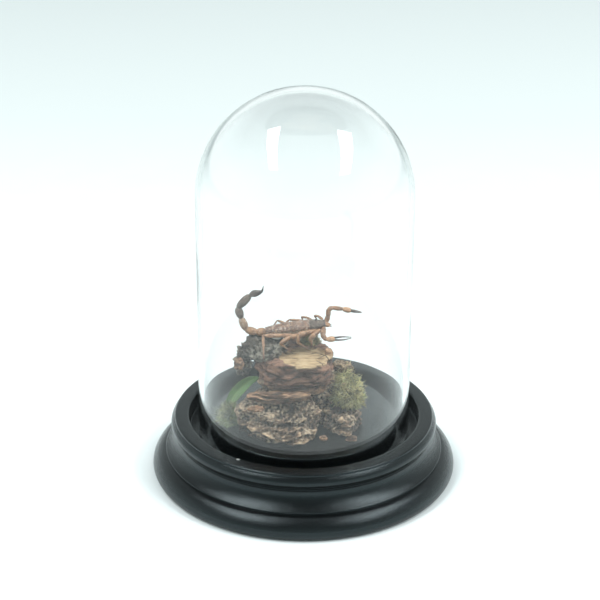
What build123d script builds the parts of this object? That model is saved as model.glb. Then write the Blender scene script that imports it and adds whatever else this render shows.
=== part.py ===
"""Bell jar dome: a glass dome standing loose in the groove of a turned black base, over a dried scorpion
glued on a stack of bark, wood, moss and a leaf.

Millimetres, +Z up. The origin is the centre of the felt's underside, where the base stands.
The front of the display faces -Y and the scorpion's head points to +X.
"""

from build123d import *
import os
from math import cos, pi, sin

os.makedirs("parts", exist_ok=True)

# ---------------------------------------------------------------- driving dimensions
glass_r = 40.0  # outside of the dome
glass_wall = 2.2
glass_lip_round = 0.7
shoulder_z = 112.0  # where the straight wall turns into the round crown
dome_seat_y = -1.7  # the dome is a loose fit, and stands this far forward in its groove

base_height = 23.0
base_r = 58.0
foot_gap = 0.3  # the felt stands this much proud of the wood
rim_outer_r = 49.3
groove_outer_r = 44.0
groove_floor_z = 16.5
platform_r = 35.3
platform_z = 22.0
felt_r = 50.0
felt_thickness = 1.5
edge = 0.35  # broken edges of the turned wood

glue_thickness = 0.5
bark_foot_z = platform_z + glue_thickness
lower_top_z = 34.5  # top of the lower bark
right_top_z = 28.5  # top of the lower bark on the right, where the moss begins
moss_top_z = 42.0
block_foot_z = 40.0  # underside of the upper wood block
block_top_z = 48.5

bead_r = 50.7
fillet_r = 53.0
fillet_z = 9.4


def write(piece, name):
    """Labels a finished piece and writes its STEP file."""
    piece.part.label = name
    export_step(piece.part, f"parts/{name}.step")


# ---------------------------------------------------------------- base
with BuildPart() as turned_base:
    with BuildSketch(Plane.XZ):
        with BuildLine():
            inside = Polyline(
                (0, platform_z),
                (platform_r - edge, platform_z),
                (platform_r, platform_z - edge),
                (platform_r, groove_floor_z),
                (groove_outer_r, groove_floor_z),
                (groove_outer_r, base_height - edge),
                (groove_outer_r + edge, base_height),
                (rim_outer_r - edge, base_height),
                (rim_outer_r, base_height - edge),
                (rim_outer_r, base_height - 1.1),
            )
            bead = ThreePointArc(inside @ 1, (bead_r, 19.5), (rim_outer_r + 0.1, 17.3))
            quirk = Polyline(bead @ 1, (rim_outer_r - 0.8, 17.2), (rim_outer_r - 0.8, 16.6))
            cove = Spline(quirk @ 1, (fillet_r - 0.7, fillet_z), tangents=[(0, -1), (1, -0.1)])
            fillet_band = Polyline(cove @ 1, (fillet_r, fillet_z - 0.2), (fillet_r, fillet_z - 0.9))
            torus = Spline(
                fillet_band @ 1,
                (base_r - 1.7, 6.4),
                (base_r, 2.7),
                (base_r - 1.1, foot_gap),
            )
            Polyline(
                torus @ 1,
                (felt_r + foot_gap, foot_gap),
                (felt_r + foot_gap, felt_thickness),
                (0, felt_thickness),
                inside @ 0,
            )
        make_face()
    revolve(axis=Axis.Z)
write(turned_base, "turned_base")

with BuildPart() as underside_felt:
    Cylinder(felt_r, felt_thickness, align=(Align.CENTER, Align.CENTER, Align.MIN))
write(underside_felt, "underside_felt")

# ---------------------------------------------------------------- dome
dome_axis = Axis((0, dome_seat_y, 0), (0, 0, 1))
with BuildPart() as glass_dome:
    with BuildSketch(Plane(origin=(0, dome_seat_y, 0), x_dir=(1, 0, 0), z_dir=(0, -1, 0))) as wall:
        with BuildLine():
            crown_out = CenterArc((0, shoulder_z), glass_r, 0, 90)
            crown_in = CenterArc((0, shoulder_z), glass_r - glass_wall, 0, 90)
            Polyline(
                crown_out @ 0,
                (glass_r, groove_floor_z),
                (glass_r - glass_wall, groove_floor_z),
                crown_in @ 0,
            )
            Line(crown_in @ 1, crown_out @ 1)
        make_face()
        fillet(wall.vertices().group_by(Axis.Y)[0], glass_lip_round)
    revolve(axis=dome_axis)
write(glass_dome, "glass_dome")


# ---------------------------------------------------------------- bark, wood and moss
CHUNK_CORNERS = 11


def chunk_outline(centre, half, share, turn, wobble):
    """Corners of one level of a broken chunk, as an uneven ring round its centre."""
    corners = []
    for i in range(CHUNK_CORNERS):
        angle = 2 * pi * i / CHUNK_CORNERS
        uneven = cos(2 * angle + turn) + 0.6 * cos(3 * angle + 2 * turn) + 0.4 * cos(5 * angle - turn)
        reach = share * (1 + wobble * uneven)
        corners.append((centre[0] + half[0] * reach * cos(angle), centre[1] + half[1] * reach * sin(angle)))
    return corners


def chunk(centre, half, low, high, turn=0.0, foot=0.92, crown=0.8, wobble=0.05, lean=(0, 0)):
    """A broken chunk with flat ends: foot, waist and crown outlines joined by facets."""
    with BuildPart() as piece:
        for height, share, slide in ((low, foot, 0), ((low + high) / 2, 1.0, 0.5), (high, crown, 1)):
            middle = (centre[0] + lean[0] * slide, centre[1] + lean[1] * slide)
            with BuildSketch(Plane.XY.offset(height)):
                with BuildLine():
                    Polyline(*chunk_outline(middle, half, share, turn, wobble), close=True)
                make_face()
        loft(ruled=True)
    return piece


write(chunk((-9.6, -12), (15.4, 14.8), bark_foot_z, lower_top_z, 0.6, 1.0, 0.8), "lower_bark_front")
write(chunk((14.9, -8.5), (7.0, 9.5), bark_foot_z, right_top_z, 2.1, 1.0, 0.8), "lower_bark_right")
write(chunk((-2, 12.5), (15, 8), bark_foot_z, block_foot_z, 1.4, 1.0, 0.8), "rear_bark")
write(chunk((-2.5, -3.2), (12.5, 7), lower_top_z, block_foot_z, 3.0, 0.9, 0.92), "core_bark")
write(chunk((-3.4, -3), (14.6, 11.8), block_foot_z, block_top_z, 4.4, 0.9, 0.95, 0.035), "upper_wood_block")
write(chunk((17.2, -3), (5.0, 5.6), right_top_z, moss_top_z, 0.3, 1.0, 0.5), "moss_right")
write(chunk((14.8, -1.5), (2.9, 3), moss_top_z, 44.4, 5.2, 0.9, 0.85), "pale_chip_right")
write(chunk((2.4, 5.4), (4.4, 3), block_top_z, 52.0, 1.1, 0.95, 0.6), "moss_top")
write(chunk((9.2, -2.0), (1.3, 1.1), block_top_z, 50.6, 2.0, 1.0, 0.6), "bark_splinter")
write(chunk((-28.4, -5.6), (2.3, 5), platform_z, 26.5, 0.9, 1.0, 0.55), "moss_left")

# The lichened bark lies on the block's left end and hangs over its edge, out to the left.
with BuildPart() as lichen_bark:
    add(chunk((-15.8, -0.4), (9.0, 10.2), block_top_z, 52.8, 5.0, 1.0, 0.75, 0.06, (1, 1.6)).part)
    add(chunk((-22.2, -1), (3.1, 7.2), 42.0, block_top_z, 3.6, 0.8, 1.0).part)
write(lichen_bark, "lichen_bark")

# Loose chips: a red one on the lower bark, an orange one on the left edge, two by the right foot.
with BuildPart() as bark_chips:
    add(chunk((-17.2, -21.2), (3.5, 2.0), lower_top_z, 36.0, 1.7, 0.9, 0.7).part)
    add(chunk((-24.2, -10.4), (2.0, 1.2), 45.8, 48.3, 0.4, 0.9, 0.8).part)
    add(chunk((7.4, -20.4), (1.5, 1.1), bark_foot_z - glue_thickness, 23.8, 2.8, 0.9, 0.7).part)
    add(chunk((17.6, -20.4), (2.2, 1.2), bark_foot_z - glue_thickness, 24.0, 4.1, 0.9, 0.6).part)
write(bark_chips, "bark_chips")

# Hot-melt glue between the platform and the three pieces of bark that stand on it.
glue_spots = [(-14, -12), (-2, -15), (15.6, -9), (-2, 12)]
with BuildPart() as platform_glue:
    for spot in glue_spots:
        with Locations((*spot, platform_z)):
            Cylinder(3.6, glue_thickness, align=(Align.CENTER, Align.CENTER, Align.MIN))
write(platform_glue, "platform_glue")


# ---------------------------------------------------------------- rounded bodies and limbs
def spindle(start, end, radii):
    """Adds a round body from start to end, with its radius given at even steps along it."""
    along = Vector(*end) - Vector(*start)
    side = Plane(origin=start, z_dir=along).x_dir
    steps = len(radii) - 1
    with BuildSketch(Plane(origin=start, x_dir=along, z_dir=side)) as half_section:
        with BuildLine():
            skin = Spline(*[(along.length * i / steps, radii[i]) for i in range(steps + 1)])
            Polyline(skin @ 1, (along.length, 0), (0, 0), skin @ 0)
        make_face()
    revolve(half_section.sketch, axis=Axis(start, along))


def limb(joints, radii, swell=1.1):
    """A bent limb: round sections at its joints and, a little fatter, halfway between them."""
    places = [Vector(*joint) for joint in joints]
    stations = [(places[0], places[1] - places[0], radii[0])]
    for i in range(1, len(places)):
        run = places[i] - places[i - 1]
        stations.append(((places[i] + places[i - 1]) / 2, run, (radii[i] + radii[i - 1]) / 2 * swell))
        onward = places[i + 1] - places[i] if i + 1 < len(places) else run
        stations.append((places[i], run.normalized() + onward.normalized(), radii[i]))
    with BuildPart() as piece:
        for place, heading, radius in stations:
            with BuildSketch(Plane(origin=place, z_dir=heading)):
                Circle(radius)
        loft(ruled=True)
    return piece


write(
    limb([(-20.8, -14.6, 37.2), (-14, -16.2, 37.3), (-6, -15.4, 36.9), (2.7, -14.4, 37.4)], [1.2, 2.3, 2.0, 1.0]),
    "twisted_root",
)

# The leaf leans up from the platform behind the left end of the bark.
leaf_route = [(-29.6, 0.5, 22.4), (-28.0, 2.6, 26.0), (-25.4, 4.6, 29.4), (-21.6, 6.2, 32.4), (-17.6, 7.4, 33.8)]
leaf_widths = [0.9, 2.6, 3.8, 3.6, 1.0]
leaf_thickness = 0.4
with BuildPart() as leaf_blade:
    for i, (point, width) in enumerate(zip(leaf_route, leaf_widths)):
        before = Vector(*leaf_route[max(i - 1, 0)])
        after = Vector(*leaf_route[min(i + 1, len(leaf_route) - 1)])
        with BuildSketch(Plane(origin=point, x_dir=(-0.75, 0.62, 0.2), z_dir=after - before)):
            Rectangle(width, leaf_thickness)
    loft(ruled=True)
write(leaf_blade, "leaf_blade")

# ---------------------------------------------------------------- scorpion: trunk
tail_root = Vector(-14.5, 4.0, 55.0)
waist = Vector(2.2, 4.4, 57.2)  # where the abdomen meets the head shield
trunk = waist - tail_root
trunk_dir = trunk.normalized()
head_length = 5.9
tergite_count = 7
tergite_gap = 0.12
tergite_plate = 0.35


def trunk_plane(distance):
    """Cross-section of the trunk at a distance from the tail: x across it, y up."""
    return Plane(origin=tail_root + trunk_dir * distance, x_dir=(-0.02, 1, 0), z_dir=trunk_dir)


def trunk_half_width(distance):
    return 1.7 + 1.4 * sin(pi / 2 * min(distance / (0.65 * trunk.length), 1))


def trunk_half_height(distance):
    return 1.45 + 0.7 * sin(pi / 2 * min(distance / (0.65 * trunk.length), 1))


with BuildPart() as scorpion_belly:
    for i in range(5):
        s = trunk.length * i / 4
        with BuildSketch(trunk_plane(s)):
            Ellipse(trunk_half_width(s) - tergite_plate, trunk_half_height(s) - tergite_plate)
    loft()
write(scorpion_belly, "scorpion_belly")

for number in range(tergite_count):
    near_head = trunk.length * (1 - number / tergite_count)
    near_tail = trunk.length * (1 - (number + 1) / tergite_count) + tergite_gap
    with BuildPart() as tergite:
        for s, flare in ((near_tail, 0.12), (near_head, 0.0)):
            width, height = trunk_half_width(s) + flare, trunk_half_height(s) + flare
            with BuildSketch(trunk_plane(s)):
                Ellipse(width, height)
                Ellipse(width - tergite_plate, height - tergite_plate, mode=Mode.SUBTRACT)
                with Locations((0, -height)):
                    Rectangle(3 * width, 2 * height, mode=Mode.SUBTRACT)
        loft(ruled=True)
    write(tergite, f"scorpion_tergite_{number + 1}")

with BuildPart() as scorpion_carapace:
    for share, width, height in ((0.02, 2.9, 2.1), (0.45, 2.7, 2.0), (1.0, 1.7, 1.3)):
        with BuildSketch(trunk_plane(trunk.length + head_length * share)):
            Ellipse(width, height)
    loft()
write(scorpion_carapace, "scorpion_carapace")

with BuildPart() as scorpion_chelicerae:
    for across in (-0.75, 0.75):
        root = waist + trunk_dir * (head_length + 0.05) + Vector(0, across, -0.2)
        spindle(root, root + Vector(1.5, -0.1 * across, -0.2), [0.55, 0.62, 0.3])
write(scorpion_chelicerae, "scorpion_chelicerae")

# ---------------------------------------------------------------- scorpion: tail
tail_joints = [
    (-14.5, 4.0, 55.0),
    (-18.0, 4.0, 54.8),
    (-22.0, 3.5, 56.0),
    (-23.8, 3.2, 61.0),
    (-25.0, 3.0, 65.3),
    (-20.6, 2.5, 70.5),
]
tail_waist_r = 0.9
for number, (a, b) in enumerate(zip(tail_joints, tail_joints[1:]), 1):
    with BuildPart() as tail_segment:
        spindle(a, b, [tail_waist_r, 1.35, 1.5, 1.4, tail_waist_r])
    write(tail_segment, f"scorpion_tail_segment_{number}")

telson_route = [(-20.4, 2.5, 70.7), (-19.0, 2.4, 71.4), (-17.3, 2.3, 71.9), (-16.0, 2.2, 72.7), (-15.5, 2.2, 74.8)]
telson_radii = [0.7, 1.3, 1.0, 0.45, 0.12]
write(limb(telson_route, telson_radii), "scorpion_telson")

# ---------------------------------------------------------------- scorpion: legs and claws
leg_radii = [0.5, 0.65, 0.6, 0.45, 0.2]
leg_joints = {
    "right_1": [(5.8, 1.5, 56.8), (3.7, -1.3, 56.3), (2.2, -1.7, 54.8), (3.0, -1.0, 51.8)],
    "right_2": [(4.4, 1.6, 56.5), (0.0, -1.8, 57.3), (-2.2, -2.6, 56.8), (-2.5, -3.0, 53.8), (2.0, 0.0, 49.6)],
    "right_3": [(2.8, 1.8, 55.9), (-1.4, -0.8, 55.6), (-5.6, -3.0, 56.1), (-9.0, -4.0, 53.9), (-4.7, -3.2, 50.0)],
    "right_4": [(1.3, 2.1, 55.2), (-3.2, 0.4, 54.6), (-8.7, -0.6, 55.6), (-15.4, -3.4, 56.8), (-14.9, -10.6, 50.8)],
    "left_1": [(6.0, 7.0, 57.0), (6.9, 8.7, 58.0), (5.2, 9.8, 58.8), (3.8, 10.3, 58.7), (4.9, 11.2, 56.6)],
    "left_2": [(4.8, 7.0, 56.5), (3.0, 8.8, 57.3), (1.0, 9.6, 58.2), (-1.1, 10.2, 58.2), (-0.4, 11.2, 55.7)],
    "left_3": [(3.5, 7.0, 56.2), (-0.4, 9.4, 56.8), (-3.2, 10.0, 56.9), (-5.8, 10.6, 56.7), (-8.4, 11.4, 54.0)],
    "left_4": [(2.1, 7.0, 55.2), (-3.2, 8.3, 54.9), (-7.7, 9.0, 56.2), (-10.4, 9.6, 56.8), (-12.4, 10.2, 53.7)],
}
for name, joints in leg_joints.items():
    write(limb(joints, [*leg_radii[: len(joints) - 1], leg_radii[-1]]), f"scorpion_leg_{name}")

arm_joints = {
    "left": [(7.2, 6.3, 57.5), (8.4, 7.5, 57.7), (9.1, 8.0, 59.8), (9.1, 8.3, 62.2), (10.6, 8.5, 62.9), (14.6, 8.5, 62.4)],
    "right": [(7.4, 2.5, 57.1), (7.2, -0.6, 57.6), (6.9, -1.9, 56.7), (7.5, -2.9, 55.7), (8.4, -3.4, 55.4)],
}
arm_radii = {"left": [0.6, 0.85, 0.8, 0.8, 0.75, 0.6], "right": [0.6, 0.85, 0.8, 0.75, 0.6]}
finger_tips = {"left": (22.0, 8.4, 61.0), "right": (17.6, -4.6, 56.7)}
hand_length = 3.0
finger_spread = 0.5
for name, joints in arm_joints.items():
    write(limb(joints, arm_radii[name]), f"scorpion_arm_{name}")
    wrist, tip = Vector(*joints[-1]), Vector(*finger_tips[name])
    reach = (tip - wrist).normalized()
    spread = Vector(0, 0, finger_spread)
    palm = [wrist + reach * (0.6 * hand_length * share) for share in (0.1, 1)]
    fixed_finger = [wrist + reach * hand_length + spread, tip + spread * 0.4]
    write(limb([*palm, *fixed_finger], [0.6, 1.15, 0.45, 0.12]), f"scorpion_hand_{name}")
    with BuildPart() as finger:
        spindle(wrist + reach * (hand_length + 0.3) - spread * 1.3, tip - spread * 0.6, [0.34, 0.34, 0.12])
    write(finger, f"scorpion_finger_{name}")

# A bead of glue holds the belly to the lichened bark.
with BuildPart() as specimen_glue:
    spindle((-10.4, 3.9, 52.8), (-10.4, 3.9, 54.2), [2.2, 1.9, 1.3])
write(specimen_glue, "specimen_glue")
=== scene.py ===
import math

import bmesh
import bpy
from mathutils import Matrix, Vector, noise


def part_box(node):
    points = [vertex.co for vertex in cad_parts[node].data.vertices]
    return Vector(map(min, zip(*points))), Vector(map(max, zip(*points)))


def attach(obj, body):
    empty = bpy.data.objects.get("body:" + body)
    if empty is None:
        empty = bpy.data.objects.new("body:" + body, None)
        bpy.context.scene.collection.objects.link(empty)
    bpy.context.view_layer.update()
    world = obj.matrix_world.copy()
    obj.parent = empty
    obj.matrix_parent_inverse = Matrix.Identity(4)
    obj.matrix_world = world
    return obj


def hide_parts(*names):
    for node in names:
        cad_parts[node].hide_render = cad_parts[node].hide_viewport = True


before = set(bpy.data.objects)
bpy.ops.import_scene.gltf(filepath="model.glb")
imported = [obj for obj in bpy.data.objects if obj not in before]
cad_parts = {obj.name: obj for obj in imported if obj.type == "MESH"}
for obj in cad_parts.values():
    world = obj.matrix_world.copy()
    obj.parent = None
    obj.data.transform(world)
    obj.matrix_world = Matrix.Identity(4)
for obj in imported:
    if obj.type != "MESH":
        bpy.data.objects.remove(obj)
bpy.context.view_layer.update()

MM = 0.001
scene = bpy.context.scene


# ---- small helpers
def mm(*numbers):
    """A point given in millimetres, as metres."""
    return Vector(numbers) * MM


def link(name, mesh):
    """Puts a mesh in the scene as an object at the origin."""
    made = bpy.data.objects.new(name, mesh)
    scene.collection.objects.link(made)
    return made


def mesh_from(name, work):
    """Turns a bmesh into a new mesh, and frees the bmesh."""
    mesh = bpy.data.meshes.new(name)
    work.to_mesh(mesh)
    work.free()
    return mesh


def bridge(work, rings):
    """Faces between each two neighbouring closed rings of as many vertices."""
    for low, high in zip(rings, rings[1:]):
        for k in range(len(low)):
            after = (k + 1) % len(low)
            work.faces.new((low[k], low[after], high[after], high[k]))


def bake(name, source):
    """Turns an object and its modifiers into a plain mesh object, and removes the source."""
    graph = bpy.context.evaluated_depsgraph_get()
    mesh = bpy.data.meshes.new_from_object(source.evaluated_get(graph))
    mesh.name = name
    bpy.data.objects.remove(source)
    return link(name, mesh)


def face_outwards(piece):
    """Merges doubles, points the faces outwards and shades them smooth."""
    work = bmesh.new()
    work.from_mesh(piece.data)
    bmesh.ops.remove_doubles(work, verts=work.verts, dist=0.001 * MM)
    bmesh.ops.recalc_face_normals(work, faces=work.faces)
    work.to_mesh(piece.data)
    work.free()
    piece.data.shade_smooth()


def settle(piece, slot, finish, *nodes, body="root"):
    """Gives a finished piece its material and body, and hides the CAD nodes that it stands for. The slot is
    not used.
    """
    if finish is not None:
        piece.data.materials.clear()
        piece.data.materials.append(finish)
    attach(piece, body)
    if nodes:
        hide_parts(*nodes)
    return piece


def smooth_run(points, steps):
    """Points on a smooth curve through the given points, with so many steps between each two."""
    places = [Vector(point) for point in points]
    ends = [2 * places[0] - places[1], *places, 2 * places[-1] - places[-2]]
    run = []
    for a, b, c, d in zip(ends, ends[1:], ends[2:], ends[3:]):
        for i in range(steps):
            t = i / steps
            bend, twist = 2 * a - 5 * b + 4 * c - d, 3 * b - a - 3 * c + d
            run.append(0.5 * ((2 * b) + (c - a) * t + bend * t**2 + twist * t**3))
    return [*run, places[-1]]


def ease(low, high, value):
    """0 below low, 1 above high, and smooth between them."""
    t = min(max((value - low) / (high - low), 0.0), 1.0)
    return t * t * (3 - 2 * t)


# ---- shader helpers
def add(tree, kind, feeds=None, **settings):
    """Adds a node, sets its options, and feeds its inputs with values or other nodes' outputs."""
    made = tree.nodes.new(kind)
    for option, value in settings.items():
        setattr(made, option, value)
    for socket, feed in (feeds or {}).items():
        if isinstance(feed, bpy.types.NodeSocket):
            tree.links.new(feed, made.inputs[socket])
        else:
            made.inputs[socket].default_value = feed
    return made


def calc(tree, operation, *terms):
    """The result of a math node on the given terms."""
    return add(tree, "ShaderNodeMath", dict(enumerate(terms)), operation=operation).outputs[0]


def paint(tree, name):
    """The values that the piece carries under this name."""
    return add(tree, "ShaderNodeAttribute", attribute_name=name).outputs["Fac"]


def one_axis(tree, vector, axis):
    return add(tree, "ShaderNodeSeparateXYZ", {"Vector": vector}).outputs[axis]


def between(tree, value, low, high):
    """0 at low and below, 1 at high and above, and even between them."""
    span = {"Value": value, "From Min": low, "From Max": high}
    return add(tree, "ShaderNodeMapRange", span).outputs["Result"]


def ramp(tree, feed, *stops):
    """A colour for each value: stops are (place, colour), and a grey may be given as one number."""
    made = add(tree, "ShaderNodeValToRGB", {"Fac": feed})
    line = made.color_ramp.elements
    while len(line) < len(stops):
        line.new(0.5)
    for element, (place, colour) in zip(line, stops):
        element.position = place
        element.color = (*([colour] * 3 if isinstance(colour, (int, float)) else colour), 1)
    return made.outputs["Color"]


def blend_colours(tree, share, first, second, how="MIX"):
    made = add(tree, "ShaderNodeMix", data_type="RGBA", blend_type=how)
    for socket, feed in ((0, share), (6, first), (7, second)):
        if isinstance(feed, bpy.types.NodeSocket):
            tree.links.new(feed, made.inputs[socket])
        else:
            made.inputs[socket].default_value = feed if socket == 0 else (*feed, 1)
    return made.outputs[2]


def grain(tree, where, scale, detail=4.0, rough=0.6, stretch=(1, 1, 1), centre=(0, 0, 0)):
    """Noise over the piece, with scale in cycles a metre and a stretch along each axis."""
    placed = add(tree, "ShaderNodeMapping", {"Vector": where, "Scale": stretch, "Location": centre})
    return add(
        tree, "ShaderNodeTexNoise",
        {"Vector": placed.outputs["Vector"], "Scale": scale, "Detail": detail, "Roughness": rough},
    ).outputs["Fac"]


def bump(tree, height, depth, strength=1.0, under=None):
    feeds = {"Height": height, "Distance": depth, "Strength": strength}
    if under is not None:
        feeds["Normal"] = under
    return add(tree, "ShaderNodeBump", feeds).outputs["Normal"]


def new_material(name):
    """A material with its Principled shader and the Object coordinates to paint it by."""
    made = bpy.data.materials.new(name)
    made.use_nodes = True
    tree = made.node_tree
    shader = tree.nodes["Principled BSDF"]
    where = add(tree, "ShaderNodeTexCoord").outputs["Object"]
    return made, tree, shader, where


def feed(tree, shader, **sockets):
    """Feeds shader sockets, whose names are given with underscores for spaces."""
    for name, value in sockets.items():
        socket = shader.inputs[name.replace("_", " ")]
        if isinstance(value, bpy.types.NodeSocket):
            tree.links.new(value, socket)
        else:
            socket.default_value = value


# ---- finishes
def black_lacquer():
    """Satin black lacquer over turned wood: orange peel, fine turning rings and a little dust."""
    made, tree, shader, where = new_material("black_lacquer")
    x, y, z = (one_axis(tree, where, axis) for axis in "XYZ")
    flat = add(tree, "ShaderNodeCombineXYZ", {"X": x, "Y": y}).outputs["Vector"]
    reach = add(tree, "ShaderNodeVectorMath", {0: flat}, operation="LENGTH").outputs["Value"]
    ring_place = add(tree, "ShaderNodeCombineXYZ", {"X": reach, "Y": z}).outputs["Vector"]
    rings = grain(tree, ring_place, 1500, 3, 0.6)
    peel = grain(tree, where, 1300, 5, 0.75)
    patches = grain(tree, where, 60, 4, 0.6)
    specks = add(tree, "ShaderNodeTexVoronoi", {"Vector": where, "Scale": 140.0})
    dust_size = grain(tree, where, 90, 2, 0.5)
    dust_reach = calc(tree, "SUBTRACT", dust_size, 0.62)
    dust = calc(tree, "LESS_THAN", specks.outputs["Distance"], dust_reach)
    lacquer = ramp(tree, patches, (0.3, (0.0022, 0.0026, 0.0028)), (0.7, (0.0040, 0.0048, 0.0052)))
    # The cyan specular tint stands in for the cyan light of the room that the lacquer reflects: a painted
    # tint on its reflections.
    feed(
        tree, shader, Base_Color=blend_colours(tree, dust, lacquer, (0.32, 0.33, 0.32)),
        Roughness=ramp(tree, patches, (0.3, 0.12), (0.75, 0.19)),
        Normal=bump(tree, peel, 0.13 * MM, 0.8, bump(tree, rings, 0.03 * MM, 0.5)),
        Specular_IOR_Level=0.48, Specular_Tint=(0.78, 0.95, 1.0, 1),
    )
    return made


def clear_glass():
    """Clear glass, faintly green through its thickness, that lets lamps light what it covers."""
    made, tree, shader, _ = new_material("clear_glass")
    feed(tree, shader, Base_Color=(1.0, 1.0, 1.0, 1), Roughness=0.0, IOR=1.5, Transmission_Weight=1.0)
    lamp_ray = add(tree, "ShaderNodeLightPath").outputs["Is Shadow Ray"]
    passing = add(tree, "ShaderNodeBsdfTransparent", {"Color": (0.95, 0.97, 0.965, 1)})
    either = add(tree, "ShaderNodeMixShader", {0: lamp_ray, 1: shader.outputs[0], 2: passing.outputs[0]})
    body = add(tree, "ShaderNodeVolumeAbsorption", {"Color": (0.7, 0.95, 0.9, 1), "Density": 9.0})
    out = tree.nodes["Material Output"]
    tree.links.new(either.outputs[0], out.inputs["Surface"])
    tree.links.new(body.outputs[0], out.inputs["Volume"])
    return made


def wool_felt():
    made, tree, shader, where = new_material("wool_felt")
    fibres = grain(tree, where, 2600, 5, 0.7)
    tufts = grain(tree, where, 300, 3, 0.6)
    feed(
        tree, shader,
        Base_Color=ramp(tree, fibres, (0.3, (0.008, 0.008, 0.009)), (0.7, (0.035, 0.035, 0.037))),
        Roughness=0.95, Sheen_Weight=0.3,
        Normal=bump(tree, fibres, 0.2 * MM, 0.8, bump(tree, tufts, 0.1 * MM, 0.5)),
    )
    return made


def rough_bark(name, deep, middle, high, fleck, fleck_share=0.6):
    """Bark, painted by how far each point stands out: dark deep in the cracks and light high on the flakes,
    partly the bark's own colour and partly painted shade in the cracks.
    """
    made, tree, shader, where = new_material(name)
    relief = paint(tree, "relief")
    streaks = grain(tree, where, 420, 6, 0.7, (1, 1, 2.2))
    patches = grain(tree, where, 110, 4, 0.6)
    mottled = calc(tree, "MULTIPLY_ADD", streaks, 0.55, relief)
    place = calc(tree, "SUBTRACT", mottled, 0.28)
    # The deepest points get the darkest colour: partly the bark's own colour in its cracks and partly
    # painted shade.
    base = ramp(tree, place, (0.12, deep), (0.48, middle), (0.85, high))
    spots = grain(tree, where, 900, 3, 0.6)
    spot_place = calc(tree, "MULTIPLY", spots, patches)
    flecks = ramp(tree, spot_place, (0.24, 0.0), (0.36, fleck_share))
    feed(
        tree, shader, Base_Color=blend_colours(tree, flecks, base, fleck), Roughness=0.85,
        Specular_IOR_Level=0.25,
        Normal=bump(tree, streaks, 0.25 * MM, 0.7, bump(tree, spots, 0.1 * MM, 0.6)),
    )
    return made


def split_wood():
    """The upper block: brown fibrous flanks, and the pale broken face on top, where fresh is 1."""
    made, tree, shader, where = new_material("split_wood")
    relief = paint(tree, "relief")
    fresh = paint(tree, "fresh")
    fibres = grain(tree, where, 260, 6, 0.65, (0.35, 1, 4))
    flank_place = calc(tree, "MULTIPLY_ADD", fibres, 0.6, relief)
    # The flanks are darkest in the hollows between the fibres: partly the wood's own colour and partly
    # painted shade.
    flank = ramp(
        tree, flank_place, (0.35, (0.008, 0.006, 0.005)), (0.7, (0.055, 0.03, 0.022)),
        (1.0, (0.19, 0.105, 0.07)),
    )
    top_fibres = grain(tree, where, 300, 6, 0.7, (1, 2.6, 1), (0, 0, 0.3))
    checks = add(
        tree, "ShaderNodeTexVoronoi", {"Vector": where, "Scale": 170.0}, feature="DISTANCE_TO_EDGE"
    ).outputs["Distance"]
    right = one_axis(tree, where, "X")
    split_right = between(tree, right, 0.001, 0.009)
    crack = calc(tree, "MULTIPLY", ramp(tree, checks, (0.015, 1.0), (0.05, 0.0)), split_right)
    fibre_place = calc(tree, "MULTIPLY_ADD", top_fibres, 0.6, relief)
    top_place = calc(tree, "MULTIPLY_ADD", crack, -0.7, fibre_place)
    top = ramp(
        tree, top_place, (0.3, (0.035, 0.022, 0.012)), (0.62, (0.19, 0.128, 0.068)),
        (0.95, (0.38, 0.28, 0.165)),
    )
    feed(
        tree, shader, Base_Color=blend_colours(tree, fresh, flank, top), Roughness=0.8,
        Specular_IOR_Level=0.3,
        Normal=bump(tree, fibres, 0.2 * MM, 0.6, bump(tree, top_fibres, 0.15 * MM, 0.5)),
    )
    return made


def dry_moss(name, dark, light):
    made, tree, shader, where = new_material(name)
    tufts = grain(tree, where, 260, 4, 0.6)
    threads = grain(tree, where, 1500, 2, 0.5)
    place = blend_colours(tree, 0.4, tufts, threads)
    feed(
        tree, shader, Base_Color=ramp(tree, place, (0.4, dark), (0.6, light)), Roughness=0.9,
        Sheen_Weight=0.2, Subsurface_Weight=0.15, Subsurface_Scale=0.5 * MM,
    )
    return made


def leaf_green():
    made, tree, shader, where = new_material("leaf_green")
    along = paint(tree, "relief")
    veins = grain(tree, where, 700, 3, 0.6, (1, 1, 0.3))
    blotches = grain(tree, where, 160, 3, 0.5)
    base = ramp(tree, blotches, (0.3, (0.025, 0.085, 0.008)), (0.7, (0.065, 0.16, 0.02)))
    feed(
        tree, shader, Base_Color=blend_colours(tree, along, base, (0.13, 0.22, 0.06)), Roughness=0.55,
        Subsurface_Weight=0.25, Subsurface_Scale=0.4 * MM, Normal=bump(tree, veins, 0.06 * MM, 0.6),
    )
    return made


def cloudy_glue():
    made, tree, shader, where = new_material("cloudy_glue")
    cloud = grain(tree, where, 500, 3, 0.5)
    feed(
        tree, shader, Base_Color=ramp(tree, cloud, (0.3, (0.55, 0.54, 0.48)), (0.7, (0.8, 0.79, 0.74))),
        Roughness=0.25, Transmission_Weight=0.55, Subsurface_Weight=0.2, Subsurface_Scale=0.6 * MM,
        Normal=bump(tree, cloud, 0.1 * MM, 0.4),
    )
    return made


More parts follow.
